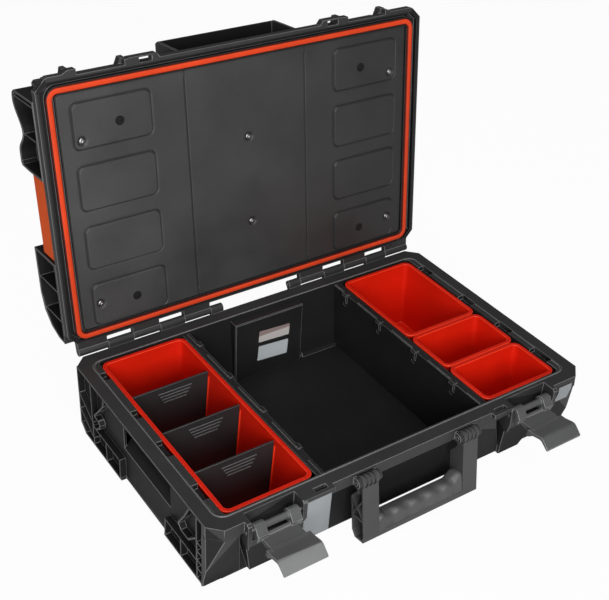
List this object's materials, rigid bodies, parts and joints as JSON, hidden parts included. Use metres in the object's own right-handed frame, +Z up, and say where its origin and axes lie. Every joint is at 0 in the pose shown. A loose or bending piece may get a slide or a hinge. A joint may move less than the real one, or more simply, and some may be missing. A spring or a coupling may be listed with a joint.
{
  "type": "hard tool case",
  "caption": "Hard plastic tool case, lid open: sealed hinged lid, snap latches, swing handle, lift-out trays with dividers beside an open main compartment.",
  "frame": {"origin": "centre of the underside of the base", "axes": "+X to the right along the width, -Y to the front with the latches and handle, +Y to the hinges, +Z up"},
  "size_m": [0.578, 0.5561, 0.4907],
  "materials": {
    "case_black": "fine moulded texture",
    "plate_grey": "smooth satin",
    "tray_red": "satin moulded",
    "lever_grey": "fine moulded texture",
    "pin_steel": "plain turned",
    "screw_steel": "plain turned",
    "grip_soft": "soft matte",
    "liner_grey": "fine pebbled",
    "gasket_red": "soft matte",
    "band_red": "satin moulded"
  },
  "bodies": {
    "base": {"base_shell": "case_black", "left_partition": "case_black", "right_partition": "case_black", "rear_box": "case_black", "front_trim_plate": "plate_grey", "corner_trim_plate": "plate_grey", "left_latch_pin": "pin_steel", "right_latch_pin": "pin_steel", "left_handle_pin": "pin_steel", "right_handle_pin": "pin_steel", "left_hinge_pin": "pin_steel", "right_hinge_pin": "pin_steel"},
    "lid": {"lid_shell": "case_black", "lid_liner": "liner_grey", "lid_gasket": "gasket_red", "liner_screws": "screw_steel", "left_lid_band": "band_red", "right_lid_band": "band_red"},
    "left_latch": {"left_latch_lever": "lever_grey"},
    "right_latch": {"right_latch_lever": "lever_grey"},
    "handle": {"handle_frame": "case_black", "handle_grip": "grip_soft"},
    "long_tray": {"long_tray": "tray_red"},
    "double_tray": {"double_tray": "tray_red"},
    "rear_small_tray": {"rear_small_tray": "tray_red"},
    "front_small_tray": {"front_small_tray": "tray_red"},
    "rear_divider": {"rear_divider": "case_black"},
    "middle_divider": {"middle_divider": "case_black"},
    "front_divider": {"front_divider": "case_black"}
  },
  "joints": [
    {"name": "lid_hinge", "type": "hinge", "parent": "base", "child": "lid", "pos_m": [0, 0.19, 0.1135], "axis": [-1, 0, 0], "range_deg": [-96, 0]},
    {"name": "left_latch_hinge", "type": "hinge", "parent": "base", "child": "left_latch", "pos_m": [-0.206, -0.187, 0.094], "axis": [1, 0, 0], "range_deg": [-104, 0]},
    {"name": "right_latch_hinge", "type": "hinge", "parent": "base", "child": "right_latch", "pos_m": [0.19, -0.187, 0.094], "axis": [1, 0, 0], "range_deg": [-104, 0]},
    {"name": "handle_swing", "type": "hinge", "parent": "base", "child": "handle", "pos_m": [0, -0.19, 0.097], "axis": [-1, 0, 0], "range_deg": [0, 80]},
    {"name": "long_tray_lift", "type": "slide", "parent": "base", "child": "long_tray", "axis": [0, 0, 1], "range_m": [0, 0.11]},
    {"name": "double_tray_lift", "type": "slide", "parent": "base", "child": "double_tray", "axis": [0, 0, 1], "range_m": [0, 0.11]},
    {"name": "rear_small_tray_lift", "type": "slide", "parent": "base", "child": "rear_small_tray", "axis": [0, 0, 1], "range_m": [0, 0.11]},
    {"name": "front_small_tray_lift", "type": "slide", "parent": "base", "child": "front_small_tray", "axis": [0, 0, 1], "range_m": [0, 0.11]},
    {"name": "rear_divider_lift", "type": "slide", "parent": "long_tray", "child": "rear_divider", "axis": [0, 0, 1], "range_m": [0, 0.1]},
    {"name": "middle_divider_lift", "type": "slide", "parent": "long_tray", "child": "middle_divider", "axis": [0, 0, 1], "range_m": [0, 0.1]},
    {"name": "front_divider_lift", "type": "slide", "parent": "long_tray", "child": "front_divider", "axis": [0, 0, 1], "range_m": [0, 0.1]}
  ]
}
